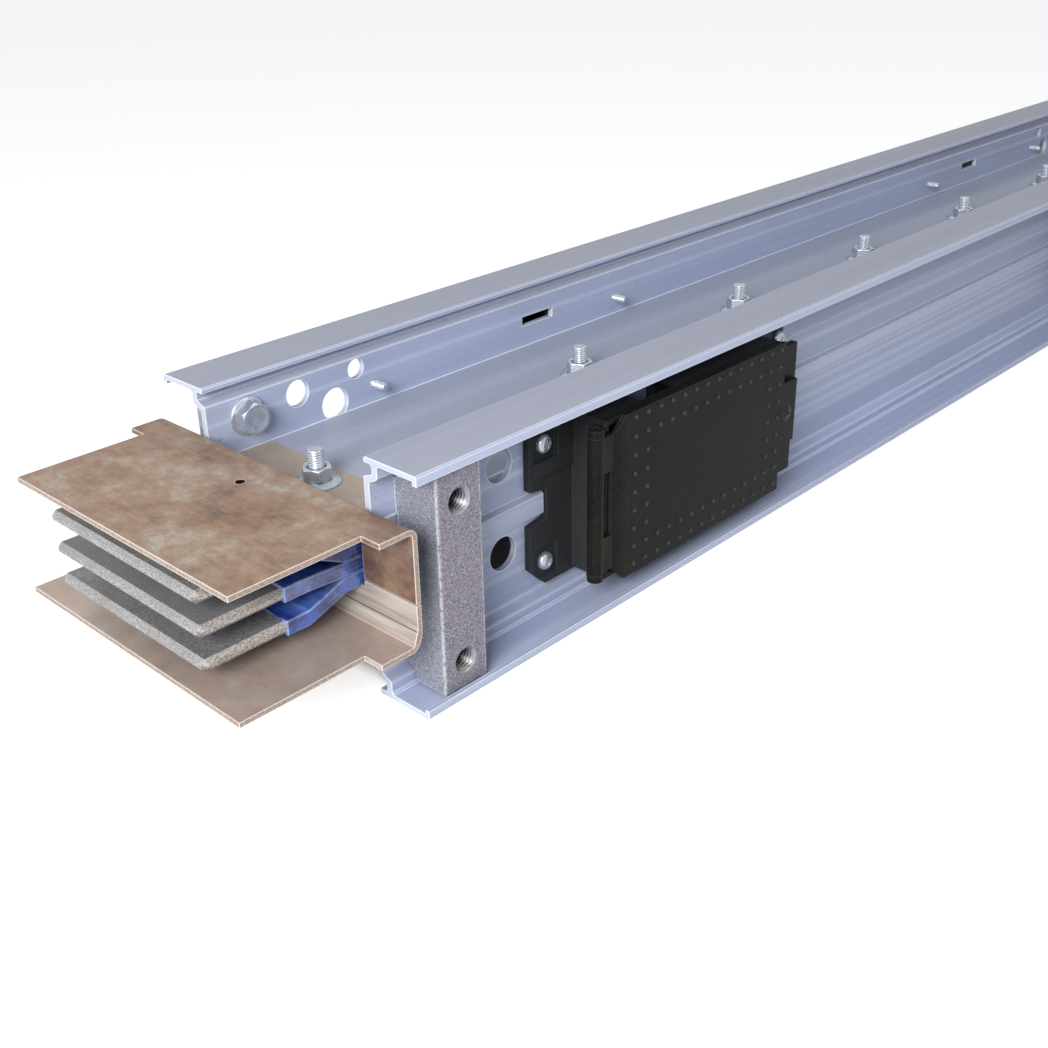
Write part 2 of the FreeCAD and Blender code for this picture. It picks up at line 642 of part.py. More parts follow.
def outlet_base(number, middle, turned):
    """The moulded base: a plate on the web, a raised box, a spigot, ears and a latch strip."""
    label = "outlet_base_%d" % number
    body = doc.addObject("PartDesign::Body", label + "_body")
    top = "rail_height - base_drop"
    left = [
        ("-base_left + notch_depth", RIB + " + notch_end / 2"),
        ("-base_left", RIB + " + notch_mouth / 2"),
        ("-base_left", top),
    ]
    right = [
        ("base_right", top),
        ("base_right", RIB + " + notch_mouth / 2"),
        ("base_right - notch_depth", RIB + " + notch_end / 2"),
        ("base_right - notch_depth", RIB + " - notch_end / 2"),
        ("base_right", RIB + " - notch_mouth / 2"),
        ("base_right", "base_rise + base_chamfer"),
        ("base_right - base_chamfer", "base_rise"),
    ]
    under = [
        ("-base_left + base_chamfer", "base_rise"),
        ("-base_left", "base_rise + base_chamfer"),
        ("-base_left", RIB + " - notch_mouth / 2"),
        ("-base_left + notch_depth", RIB + " - notch_end / 2"),
    ]
    points = [("%s + %s" % (middle, u), v) for u, v in left + right + under]
    sketch = outline(body, label + "_plate_outline", "XZ_Plane", points, WEB)
    pad(body, label + "_plate", sketch, "base_wall")
    front = "-" + BOX_FRONT
    solids = [
        body,
        box(label + "_box", middle + " - box_left", front, "box_inset",
            "box_left + box_right", "box_depth", "2 * " + BOX_HALF),
        box(label + "_panel", middle + " - base_left + panel_inset",
            "-%s - base_wall - panel_rise" % WEB, RIB + " + panel_shift",
            "base_left - panel_inset - box_left + box_wall",
            "base_wall + panel_rise", RIB + " - base_drop - panel_shift"),
        box(label + "_spigot", middle + " - window_half + hole_play", "-" + WEB,
            "window_rise + hole_play", "2 * (window_half - hole_play)", "web_wall",
            WINDOW_HEIGHT + " - 2 * hole_play"),
        box(label + "_strip", middle + " + box_right - box_wall", front, "latch_inset",
            "latch_reach - box_right + box_wall", "latch_wall", "2 * " + LATCH_HALF),
    ]
    axis_x = middle + " - hinge_reach"
    axis_y = "-%s + barrel_size / 2" % DOOR_FACE
    for name, low in (("low", "barrel_inset - ear_gap - ear_wall"),
                      ("high", "rail_height - barrel_inset + ear_gap")):
        solids.append(cylinder("%s_ear_%s" % (label, name), axis_x, axis_y, low, "barrel_size / 2",
                               "ear_wall"))
        solids.append(box("%s_arm_%s" % (label, name), axis_x, front, low,
                          "hinge_reach - ear_reach", "ear_depth", "ear_wall"))
    solid = fused(label + "_solid", solids)
    tools = [
        box(label + "_hollow", middle + " - box_left + box_wall", front + " - over",
            "box_inset + box_wall", "box_left + box_right - 2 * box_wall",
            "box_depth - box_floor + over", "2 * (%s - box_wall)" % BOX_HALF),
        cylinder(label + "_pivot_holes", axis_x, axis_y, "0", "pivot_size / 2 + pivot_play",
                 "rail_height"),
        cylinder(label + "_lock_hole", middle + " + lock_reach", front + " + latch_wall + over",
                 RIB, "lock_size / 2 + 2 * hole_play", "latch_wall + 2 * over", FORWARD),
    ]
    for k in range(4):
        tools.append(box("%s_slot_%d" % (label, k),
                         "%s + %s * slot_step - slot_width / 2" % (middle, k - 1.5),
                         "-%s - box_floor - over" % WEB, STACK + " - slot_height / 2",
                         "slot_width", "box_floor + web_wall + 2 * over", "slot_height"))
    for k, (u, v) in enumerate(SCREW_SPOTS):
        tools.append(cylinder("%s_screw_hole_%d" % (label, k), middle + " + " + u, "-%s + over" % WEB,
                              v, "(screw_size + hole_play) / 2", "base_wall + 2 * over", FORWARD))
        tools.append(box("%s_pocket_%d" % (label, k), "%s + %s - pocket_size / 2" % (middle, u),
                         "-%s - base_wall - panel_rise - over" % WEB, v + " - pocket_size / 2",
                         "pocket_size", "pocket_depth + panel_rise + over", "pocket_size"))
    vent = doc.addObject("PartDesign::Body", label + "_vent_body")
    top = "rail_height - box_inset + over"
    low = "rail_height - box_inset - vent_height"
    points = [
        (middle + " - vent_left", top),
        (middle + " - vent_left + vent_slope", low),
        (middle + " - vent_right", low),
        (middle + " - vent_right", top),
    ]
    sketch = outline(vent, label + "_vent_outline", "XZ_Plane", points, WEB)
    pad(vent, label + "_vent", sketch, "vent_depth")
    finish(cut(label, solid, tools + [vent]), label, turned=turned)


def outlet_door(number, middle, turned):
    """The door with its leaves, barrel, two pivots and the tab that takes its screw."""
    label = "outlet_door_%d" % number
    body = doc.addObject("PartDesign::Body", label + "_body")
    top = "rail_height - door_drop"
    points = [
        ("-door_left", top + " - door_corner"),
        ("-door_left + door_corner", top),
        ("door_right", top),
        ("door_right", RIB + " + tab_half"),
        ("tab_reach", RIB + " + tab_half"),
        ("tab_reach", RIB + " - tab_half"),
        ("door_right", RIB + " - tab_half"),
        ("door_right", "door_rise"),
        ("-door_left + door_corner", "door_rise"),
        ("-door_left", "door_rise + door_corner"),
    ]
    points = [("%s + %s" % (middle, u), v) for u, v in points]
    sketch = outline(body, label + "_outline", "XZ_Plane", points, DOOR_BACK)
    pad(body, label + "_blank", sketch, "door_wall")
    crest = [
        ("-door_left + door_round * %.4f" % (1 - math.cos(turn)),
         "-(%s + door_wall * %.4f)" % (DOOR_BACK, math.sin(turn)))
        for turn in (math.pi / 2 * k / 4 for k in range(5))
    ]
    crest += [
        ("tab_reach", "-" + DOOR_FACE),
        ("tab_reach", "-" + DOOR_BACK),
    ]
    crown = doc.addObject("PartDesign::Body", label + "_crown_body")
    sketch = outline(crown, label + "_crown_outline", "XY_Plane",
                     [("%s + %s" % (middle, u), v) for u, v in crest])
    pad(crown, label + "_crown", sketch, "rail_height")
    panel = doc.addObject("Part::MultiCommon", label + "_panel")
    panel.Shapes = [body, crown]
    axis_x = middle + " - hinge_reach"
    axis_y = "-%s + barrel_size / 2" % DOOR_FACE
    solids = [
        panel,
        cylinder(label + "_barrel", axis_x, axis_y, "barrel_inset", "barrel_size / 2",
                 "2 * " + BARREL_HALF),
        cylinder(label + "_pivots", axis_x, axis_y, "barrel_inset - pivot_reach",
                 "pivot_size / 2", "2 * (%s + pivot_reach)" % BARREL_HALF),
    ]
    for name, low in (("low", "barrel_inset + leaf_inset"),
                      ("high", "rail_height - barrel_inset - leaf_inset - leaf_height")):
        solids.append(box("%s_leaf_%s" % (label, name), axis_x, "-%s + leaf_back" % DOOR_FACE, low,
                          "hinge_reach - door_left + over", "door_wall - leaf_back",
                          "leaf_height"))
    hole = cylinder(label + "_lock_hole", middle + " + lock_reach", "-%s + over" % DOOR_BACK,
                    RIB, "(lock_size + hole_play) / 2", "door_wall + 2 * over", FORWARD)
    finish(cut(label, fused(label + "_solid", solids), [hole]), label, turned=turned)


def dome_screw(name, x, face, z, head, rise, size, length):
    """A domed screw whose head bears on a face at -Y and whose shank runs inwards."""
    ball = "((%s)^2 / 4 + (%s)^2) / (2 * (%s))" % (head, rise, rise)
    cap = doc.addObject("Part::Sphere", name + "_head")
    cap.Placement.Rotation = FORWARD
    bind(cap, Radius=ball, Angle1="asin((%s - (%s)) / (%s))" % (ball, rise, ball),
         Placement_Base_x=x, Placement_Base_z=z,
         Placement_Base_y="-(%s) + %s - (%s)" % (face, ball, rise))
    shank = cylinder(name + "_shank", x, "-(%s) + (%s)" % (face, length), z, "(%s) / 2" % size,
                     "(%s) + (%s) / 4" % (length, rise), FORWARD)
    return fused(name, [cap, shank])


def outlet_screws(number, middle, turned):
    """The four screws of one base and the slotted screw of its door."""
    label = "outlet_screws_%d" % number
    screws = [dome_screw("%s_%d" % (label, k), middle + " + " + u,
                         WEB + " + base_wall - pocket_depth", v,
                         "screw_head", "screw_dome", "screw_size",
                         "base_wall - pocket_depth + web_wall + screw_tip")
              for k, (u, v) in enumerate(SCREW_SPOTS)]
    finish(fused(label, screws), label, turned=turned)
    label = "door_screw_%d" % number
    screw = dome_screw(label + "_blank", middle + " + lock_reach", DOOR_FACE, RIB,
                       "lock_head", "lock_dome", "lock_size", "door_wall + lock_tip")
    slot = box(label + "_slot", middle + " + lock_reach - lock_head",
               "-%s - lock_dome - over" % DOOR_FACE, RIB + " - lock_slot / 2",
               "2 * lock_head", "lock_slot_depth + over", "lock_slot")
    finish(cut(label, screw, [slot]), label, turned=turned)


for number, (sign, turned) in enumerate((("-", False), ("", False), ("", True), ("-", True)), start=1):
    end_block(number, sign, turned)
    middle = "%s(rail_length / 2 - outlet_inset)" % sign
    outlet_base(number, middle, turned)
    outlet_door(number, middle, turned)
    outlet_screws(number, middle, turned)


def clamp(number, place):
    """One bolt through the sandwich with its dished washer and nut."""
    top = "%s + %s" % (STACK, STACK_HALF)
    under = "%s - %s" % (STACK, STACK_HALF)
    label = "clamp_washer_%d" % number
    finish(cut(label, cone(label + "_disc", place, "0", top, "washer_size / 2", "washer_top / 2",
                           "washer_wall"),
               [cylinder(label + "_hole", place, "0", "0", "(clamp_size + hole_play) / 2",
                         "rail_height")]), label)
    label = "clamp_nut_%d" % number
    finish(cut(label, hexagon(label + "_hex", place, "0", top + " + washer_wall", "clamp_hex",
                              "clamp_nut_rise"),
               [cylinder(label + "_hole", place, "0", "0", "(clamp_size + hole_play) / 2",
                         "rail_height")]), label)
    label = "clamp_bolt_%d" % number
    finish(fused(label, [
        hexagon(label + "_head", place, "0", under, "clamp_hex", "clamp_head_rise", DOWNWARD),
        cylinder(label + "_shank", place, "0", under, "clamp_size / 2",
                 "2 * %s + washer_wall + clamp_nut_rise + clamp_proud" % STACK_HALF)]), label)


for number, place in enumerate(CLAMP_PLACES, start=1):
    clamp(number, place)

doc.recompute()

# Every object must have come out sound before anything is written
faults = [item.Name for item in doc.Objects if {"Invalid", "Error"} & set(item.State)]
faults += [node.Label for node in nodes if node.Shape.isNull() or not node.Shape.isValid()]
if faults:
    raise RuntimeError("failed: " + ", ".join(faults))

os.makedirs("parts", exist_ok=True)
for node in nodes:
    node.Shape.exportStep("parts/%s.step" % node.Label)
    print(node.Label, len(node.Shape.Solids), round(node.Shape.Volume / 1000.0, 2), "cm3")
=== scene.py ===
import json
import math

import bmesh
import bpy
from mathutils import Euler, Matrix, Vector


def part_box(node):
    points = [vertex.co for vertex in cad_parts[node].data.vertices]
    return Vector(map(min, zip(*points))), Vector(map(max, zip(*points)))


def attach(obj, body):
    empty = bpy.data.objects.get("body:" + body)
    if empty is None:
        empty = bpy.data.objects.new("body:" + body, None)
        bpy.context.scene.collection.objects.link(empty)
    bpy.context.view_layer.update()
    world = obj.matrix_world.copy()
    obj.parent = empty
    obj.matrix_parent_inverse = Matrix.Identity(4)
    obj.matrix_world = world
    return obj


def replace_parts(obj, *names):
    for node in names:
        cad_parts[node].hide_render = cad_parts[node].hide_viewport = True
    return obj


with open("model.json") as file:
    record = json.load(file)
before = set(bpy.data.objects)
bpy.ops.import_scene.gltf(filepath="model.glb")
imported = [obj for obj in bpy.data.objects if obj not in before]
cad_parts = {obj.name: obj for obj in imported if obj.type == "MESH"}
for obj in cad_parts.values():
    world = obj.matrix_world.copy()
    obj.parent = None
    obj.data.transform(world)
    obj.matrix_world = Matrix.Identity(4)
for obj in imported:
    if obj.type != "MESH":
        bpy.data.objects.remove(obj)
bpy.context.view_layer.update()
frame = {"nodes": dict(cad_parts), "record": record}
MM = 0.001

# Places and sizes that come from the frame, in millimetres


def corners(node):
    """The lowest and highest corners of a CAD node, in millimetres."""
    return [[round(value / MM, 2) for value in corner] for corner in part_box(node)]


def centre(node):
    """The middle of a CAD node along the rails, in millimetres."""
    low, high = corners(node)
    return round((low[0] + high[0]) / 2, 1)


MOUNTS = {mount["name"]: [round(value / MM, 2) for value in mount["pos_m"]]
          for mount in frame["record"]["mounts"]}

# Side pieces are built as on the front rail, whose outward way is -Y, and turned half round for the rear one
SIDES = {1: 1.0, 2: 1.0, 3: -1.0, 4: -1.0}
OUTWARD = (0.0, -1.0, 0.0)
INWARD = (0.0, 1.0, 0.0)
OUTLETS = {number: side * MOUNTS["plug_outlet_%d" % number][0] for number, side in SIDES.items()}
BLOCKS = {number: side * MOUNTS["end_block_%d_upper" % number][0] for number, side in SIDES.items()}
BORE_HEIGHTS = (MOUNTS["end_block_1_lower"][2], MOUNTS["end_block_1_upper"][2])
CLAMPS = [centre("clamp_washer_%d" % number) for number in range(1, 8)]

rail_high = corners("front_rail")[1]
RAIL_END = rail_high[0]
MIDDLE = rail_high[2] / 2
WEB_BACK = -rail_high[1]
DOOR_FACE = -corners("outlet_door_1")[0][1]
BLOCK_FACE = -corners("end_block_1")[0][1]

# Pan-head screws of the outlets and flange bolts of the blocks: their heads as the CAD has them
PAN_RADIUS = 4.8
PAN_RISE = 3.2
screws_low, screws_high = corners("outlet_screws_1")
SCREW_SEAT = -screws_low[1] - PAN_RISE
SCREW_REACH = (screws_high[0] - screws_low[0]) / 2 - PAN_RADIUS
SCREW_HEIGHTS = (round(screws_low[2] + PAN_RADIUS, 1), round(screws_high[2] - PAN_RADIUS, 1))
FLANGE_RADIUS = 10.0
FLANGE_HEX = 15.0
FLANGE_RISE = 8.5
flange_low, flange_high = corners("block_bolts_1")
FLANGE_REACH = abs(centre("block_bolts_1"))
FLANGE_HEIGHTS = (flange_low[2] + FLANGE_RADIUS, flange_high[2] - FLANGE_RADIUS)

# Clamp bolts: the levels of their stack
CLAMP_HEX = 13.0
CLAMP_HEAD = 5.3
bolt_low, bolt_high = corners("clamp_bolt_1")
washer_low, washer_high = corners("clamp_washer_1")
STACK_LOW = bolt_low[2] + CLAMP_HEAD
STACK_TOP = washer_low[2]
WASHER_TOP = washer_high[2]
NUT_TOP = corners("clamp_nut_1")[1][2]
BOLT_TOP = bolt_high[2]

# Places on the covers where their finish changes
PAINT_END = RAIL_END - 35.5
TONGUE_TIP = RAIL_END + 67.0
PIN_HOLE = RAIL_END + 22.5
PIN_HOLE_RADIUS = 2.45
FOLD_START = WEB_BACK - 2.0
WALL_FOOT = 40.5
CREASE = 46.8


# Camera, fitted to the photo's frame, and soft lamps

camera = bpy.data.objects.new("camera", bpy.data.cameras.new("camera"))
bpy.context.scene.collection.objects.link(camera)
camera.location = (-0.81681, -0.44348, 0.33485)
camera.rotation_euler = Euler([math.radians(turn) for turn in (64.563, 0.975, -46.858)])
camera.data.sensor_width = 36.0
camera.data.lens = 44.665
camera.data.shift_y = -0.03674
camera.data.clip_start = 0.01
bpy.context.scene.camera = camera
bpy.context.scene.view_settings.view_transform = "Standard"


def area_light(name, place, aim, width, height, watts):
    """A soft rectangular lamp at a place, aimed at a point, both in metres."""
    lamp = bpy.data.lights.new(name, "AREA")
    lamp.shape = "RECTANGLE"
    lamp.size = width
    lamp.size_y = height
    lamp.energy = watts
    holder = bpy.data.objects.new(name, lamp)
    holder.location = place
    holder.rotation_euler = (Vector(aim) - Vector(place)).to_track_quat("-Z", "Y").to_euler()
    bpy.context.scene.collection.objects.link(holder)


area_light("key", (-1.7, -0.66, 0.85), (-0.4, 0.0, 0.05), 0.8, 0.7, 38.0)
area_light("front", (0.4, -1.7, 1.5), (0.1, 0.05, 0.05), 1.4, 0.7, 3.5)


# Node graphs


def shade(given):
    """A node's output as it is, or a display colour of 0 to 255 as the shader's linear values."""
    if isinstance(given, bpy.types.NodeSocket):
        return given
    channels = [channel / 255.0 for channel in given]
    return (*[c / 12.92 if c <= 0.04045 else ((c + 0.055) / 1.055) ** 2.4 for c in channels], 1.0)


class Graph:
    """The nodes of a material or the world, added by short calls. Lengths are in millimetres."""

    def __init__(self, owner):
        owner.use_nodes = True
        self.owner = owner
        self.tree = owner.node_tree
        self.tree.nodes.clear()

    def feed(self, socket, given):
        """Link another node's output to a socket, or set the socket to a value."""
        if isinstance(given, bpy.types.NodeSocket):
            self.tree.links.new(given, socket)
        else:
            socket.default_value = given

    def node(self, kind, *ordered, settings=None, **named):
        """Add a node; its inputs come in their order or by name, with _ for a space."""
        made = self.tree.nodes.new(kind)
        for key, setting in (settings or {}).items():
            setattr(made, key, setting)
        for socket, given in zip(made.inputs, ordered):
            self.feed(socket, given)
        for key, given in named.items():
            self.feed(made.inputs[key.replace("_", " ")], given)
        return made

    def maths(self, operation, first, second=0.0):
        """Arithmetic on one or two numbers."""
        return self.node("ShaderNodeMath", first, second, settings={"operation": operation}).outputs[0]

    def times(self, first, *others):
        """The product of some numbers."""
        for other in others:
            first = self.maths("MULTIPLY", first, other)
        return first

    def step(self, given, low, high):
        """Nought at low and one at high, smooth between; low may be above high."""
        made = self.node("ShaderNodeMapRange", settings={"interpolation_type": "SMOOTHSTEP"},
                         Value=given, From_Min=low, From_Max=high)
        return made.outputs[0]

    def point(self, stretch=(1.0, 1.0, 1.0)):
        """The point in the row frame, in metres, stretched along the axes."""
        spot = self.node("ShaderNodeTexCoord").outputs["Object"]
        return self.node("ShaderNodeMapping", Vector=spot, Scale=stretch).outputs["Vector"]

    def noise(self, scale, detail=2.0, stretch=(1.0, 1.0, 1.0), roughness=0.5):
        """Soft noise; the scale is in cells per metre."""
        made = self.node("ShaderNodeTexNoise", Vector=self.point(stretch), Scale=scale, Detail=detail,
                         Roughness=roughness)
        return made.outputs["Fac"]

    def axis(self, name):
        """The distance along X, Y or Z in the row frame, in metres."""
        return self.node("ShaderNodeSeparateXYZ", Vector=self.point()).outputs[name]

    def past(self, name, low, high):
        """Nought up to low and one from high on, in millimetres from the middle plane to either side."""
        return self.step(self.maths("ABSOLUTE", self.axis(name)), low * MM, high * MM)

    def facing(self, name):
        """How far the true surface faces along X, Y or Z of the row frame."""
        true = self.node("ShaderNodeNewGeometry").outputs["True Normal"]
        return self.node("ShaderNodeSeparateXYZ", Vector=true).outputs[name]

    def upward(self, low, high):
        """One where the surface faces up."""
        return self.step(self.facing("Z"), low, high)

    def square(self, name, low, high):
        """One where the surface faces along an axis, either way."""
        return self.step(self.maths("ABSOLUTE", self.facing(name)), low, high)

    def edges(self, radius, gain):
        """Nearly one on sharp edges and nothing on flats."""
        soft = self.node("ShaderNodeBevel", settings={"samples": 6}, Radius=radius * MM).outputs[0]
        true = self.node("ShaderNodeNewGeometry").outputs["True Normal"]
        agreed = self.node("ShaderNodeVectorMath", soft, true, settings={"operation": "DOT_PRODUCT"})
        lost = self.maths("SUBTRACT", 1.0, agreed.outputs["Value"])
        return self.maths("MINIMUM", self.times(lost, gain), 1.0)

    def ramp(self, factor, *stops):
        """Colours by factor, from (position, colour) pairs."""
        made = self.node("ShaderNodeValToRGB", Fac=factor)
        points = made.color_ramp.elements
        while len(points) < len(stops):
            points.new(0.5)
        for point, (position, colour) in zip(points, stops):
            point.position = position
            point.color = shade(colour)
        return made.outputs["Color"]

    def mix(self, factor, first, second):
        """A colour between two others."""
        made = self.node("ShaderNodeMix", settings={"data_type": "RGBA"})
        for number, given in ((0, factor), (6, shade(first)), (7, shade(second))):
            self.feed(made.inputs[number], given)
        return made.outputs[2]

    def over(self, base, colour, *shares):
        """A colour laid over a base, by the product of some shares."""
        return self.mix(self.times(*shares), base, colour)

    def bump(self, height, strength, depth, rounding):
        """Relief from a height, on edges rounded by a radius."""
        soft = self.node("ShaderNodeBevel", settings={"samples": 4}, Radius=rounding * MM).outputs[0]
        made = self.node("ShaderNodeBump", Height=height, Strength=strength, Distance=depth * MM,
                         Normal=soft)
        return made.outputs[0]

    def seen(self):
        """One for rays that show the background: from the camera, off gloss and through glass."""
        rays = self.node("ShaderNodeLightPath").outputs
        straight = self.maths("MAXIMUM", rays["Is Camera Ray"], rays["Is Transmission Ray"])
        return self.maths("MAXIMUM", straight, rays["Is Glossy Ray"])

    def surface(self, **inputs):
        """The finished material."""
        shader = self.node("ShaderNodeBsdfPrincipled", **inputs)
        self.node("ShaderNodeOutputMaterial", Surface=shader.outputs[0])
        return self.owner


# World and floor: white where they are seen, plain light for the part, and the part's shadow on the floor;
# the floor's white glow stops under the part's footprint, a painted shadow there

WHITE = (1.0, 1.0, 1.0, 1.0)
SKY = (0.93, 0.96, 1.0, 1.0)
SKY_LIGHT = 0.32
FLOOR_TONE = (0.55, 0.55, 0.55, 1.0)
FLOOR_GLOW = 0.72
FLOOR_SIZE = 60.0
FLOOR_DROP = 0.0002

world = bpy.data.worlds.new("world")
bpy.context.scene.world = world
g = Graph(world)
sky = g.node("ShaderNodeBackground", Color=SKY, Strength=SKY_LIGHT)
backdrop = g.node("ShaderNodeBackground", Color=WHITE, Strength=1.0)
both = g.node("ShaderNodeMixShader", g.seen(), sky.outputs[0], backdrop.outputs[0])
g.node("ShaderNodeOutputWorld", Surface=both.outputs[0])

bpy.ops.mesh.primitive_plane_add(size=FLOOR_SIZE, location=(0.0, 0.0, -FLOOR_DROP))
floor = bpy.context.object
floor.name = "floor"
g = Graph(bpy.data.materials.new("floor"))
matt = g.node("ShaderNodeBsdfDiffuse", Color=FLOOR_TONE)
# Painted shadow: the floor glows only outside the part's footprint, so it stays dark under the part and
# through its holes
clear = g.maths("MAXIMUM", g.past("X", RAIL_END - 18.0, RAIL_END - 3.0),
                g.past("Y", WEB_BACK - 2.2, WEB_BACK + 7.8))
glow = g.node("ShaderNodeEmission", Color=WHITE, Strength=g.times(clear, FLOOR_GLOW))
lit = g.node("ShaderNodeAddShader", matt.outputs[0], glow.outputs[0])
both = g.node("ShaderNodeMixShader", g.seen(), matt.outputs[0], lit.outputs[0])
g.node("ShaderNodeOutputMaterial", Surface=both.outputs[0])
floor.data.materials.append(g.owner)


# Materials


def rail_paint():
    """Satin blue-grey paint on extruded metal: fine spray grain, long soft draw streaks, a few specks;
    painted shade on the flange tops, painted light on the other faces and the ends, painted highlights on
    web lines and edges.
    """
    g = Graph(bpy.data.materials.new("rail_paint"))
    streak = g.noise(60.0, 3.0, (0.015, 1.0, 1.0))
    line = g.noise(240.0, 2.0, (0.004, 1.0, 1.0))
    cloud = g.noise(9.0)
    grain = g.noise(1900.0)
    speck = g.noise(330.0)
    # Painted shade and light: the flanges' tops are darkened and the other faces tinted bluer, as the light
    # falls on them
    top = g.times(g.upward(0.6, 0.95), g.past("Z", MIDDLE - 8.5, MIDDLE + 11.5))
    below = g.maths("SUBTRACT", 1.0, top)
    tone = g.mix(g.step(streak, 0.35, 0.7), (160, 167, 190), (176, 182, 203))
    tone = g.over(tone, (166, 171, 190), g.step(cloud, 0.4, 0.75))
    tone = g.over(tone, (192, 197, 214), g.step(line, 0.5, 0.72), 0.4)
    tone = g.over(tone, (134, 140, 162), g.step(grain, 0.45, 0.7), 0.22)
    tone = g.over(tone, (152, 154, 166), top, 0.6)
    tone = g.over(tone, (150, 170, 212), below, 0.22)
    # Painted highlight: pale lines on the webs, where their ribs catch the light
    tone = g.over(tone, (206, 214, 236), g.square("Y", 0.7, 0.95), g.step(line, 0.44, 0.64), 0.25)
    tone = g.over(tone, (78, 80, 88), g.step(speck, 0.745, 0.765), 0.6)
    # Painted light: the end faces are made paler, as if lit from the end
    tone = g.over(tone, (196, 204, 216), g.square("X", 0.8, 0.95), 0.7)
    # Painted highlight: near-white lines on the sharp edges
    tone = g.over(tone, (240, 244, 252), g.edges(0.9, 9.0))
    height = g.maths("ADD", g.times(grain, 0.5), streak)
    return g.surface(Base_Color=tone, Metallic=0.1, Roughness=0.48, Specular_IOR_Level=0.25,
                     Normal=g.bump(height, 0.16, 0.3, 0.4))


def stained_tan(g, fine, blot, brushed):
    """Tan conversion coating: clouds, blots, rusty stains and fine brushing."""
    patch = g.noise(24.0, 5.0, (1.0, 0.8, 1.0), 0.6)
    stain = g.noise(26.0, 5.0, (1.0, 0.7, 1.0), 0.65)
    tan = g.ramp(g.maths("ADD", g.times(patch, 0.5), g.times(blot, 0.5)),
                 (0.38, (112, 88, 72)), (0.47, (148, 119, 98)), (0.53, (158, 135, 115)),
                 (0.61, (174, 165, 152)))
    tan = g.over(tan, (172, 122, 88), g.step(stain, 0.54, 0.7), 0.4)
    tan = g.over(tan, (120, 100, 86), g.step(fine, 0.4, 0.68), 0.3)
    return g.over(tan, (196, 180, 168), g.step(brushed, 0.5, 0.7), 0.14)


def painted_pin_hole_shade(g):
    """One on the wall of the small hole in a tongue, which is painted dark as shade."""
    along_x = g.maths("SUBTRACT", g.maths("ABSOLUTE", g.axis("X")), PIN_HOLE * MM)
    spot = g.node("ShaderNodeCombineXYZ", X=along_x, Y=g.axis("Y"))
    away = g.node("ShaderNodeVectorMath", spot.outputs[0], settings={"operation": "LENGTH"})
    near = g.maths("LESS_THAN", away.outputs["Value"], PIN_HOLE_RADIUS * MM)
    upright = g.maths("LESS_THAN", g.maths("ABSOLUTE", g.facing("Z")), 0.5)
    return g.times(near, upright)


def cover_sheet(lower):
    """Tan converted sheet metal at the joint ends, grey paint between the rails, cut edges partly bare and
    partly a painted highlight; painted shade in the pin hole; on the top sheet, painted light between the
    rails and a painted highlight along the fold.
    """
    g = Graph(bpy.data.materials.new("bottom_cover_sheet" if lower else "top_cover_sheet"))
    fine = g.noise(900.0, 3.0)
    blot = g.noise(90.0, 5.0, (1.0, 0.8, 1.0), 0.7)
    brushed = g.noise(700.0, 2.0, (1.0, 0.07, 0.07))
    tan = stained_tan(g, fine, blot, brushed)
    if lower:
        grain = g.noise(300.0, 3.0, (1.0, 0.05, 1.0))
        wall = g.times(g.past("Z", WALL_FOOT, WALL_FOOT + 2.0), g.past("X", RAIL_END - 0.5, RAIL_END + 0.5))
        off_crease = g.maths("ABSOLUTE", g.maths("SUBTRACT", g.axis("Z"), CREASE * MM))
        crease = g.maths("SUBTRACT", 1.0, g.step(off_crease, 0.12 * MM, 0.4 * MM))
        tan = g.over(tan, (204, 192, 184), 0.5)
        tan = g.over(tan, g.mix(g.step(grain, 0.35, 0.65), (166, 158, 150), (218, 213, 205)), wall, 0.8)
        tan = g.over(tan, (58, 46, 38), crease, wall, 0.8)
    tip = g.times(g.square("X", 0.8, 0.95), g.past("X", TONGUE_TIP, TONGUE_TIP + 5.0))
    sheared = g.maths("MAXIMUM", tip, g.square("Y", 0.8, 0.95))
    tan = g.over(tan, g.mix(g.step(fine, 0.35, 0.6), (172, 158, 148), (146, 130, 118)), sheared)
    # Partly the bare cut metal and partly a painted highlight: near-white lines on the sharp edges
    tan = g.over(tan, (252, 236, 230), g.edges(0.8, 7.0))
    # Painted shade: the wall of the pin hole is made nearly black
    tan = g.over(tan, (22, 19, 17), painted_pin_hole_shade(g))
    if not lower:
        # Painted light: the shaded plate between the rails is lifted towards a pale grey
        tan = g.over(tan, (206, 198, 184), g.past("X", RAIL_END - 2.0, RAIL_END - 6.0), 0.45)
    bare = g.past("X", PAINT_END, PAINT_END + 2.0)
    drawn = g.noise(60.0, 3.0, (0.02, 1.0, 1.0))
    tone = g.mix(bare, g.mix(g.step(drawn, 0.35, 0.7), (148, 154, 172), (162, 167, 184)), tan)
    if not lower:
        # Painted highlight: a bright line along the top sheet's fold next to the webs
        painted_fold_highlight = g.times(g.past("Y", FOLD_START, FOLD_START + 0.8), g.upward(0.2, 0.5),
                       g.past("X", RAIL_END, RAIL_END - 4.0))
        tone = g.over(tone, (244, 246, 252), painted_fold_highlight, 0.8)
    rough = g.maths("ADD", 0.34, g.times(blot, 0.2))
    height = g.maths("ADD", brushed, g.times(fine, 0.6))
    return g.surface(Base_Color=tone, Metallic=g.times(bare, 0.4), Roughness=rough,
                     Normal=g.bump(height, 0.16, 0.3, 0.4))


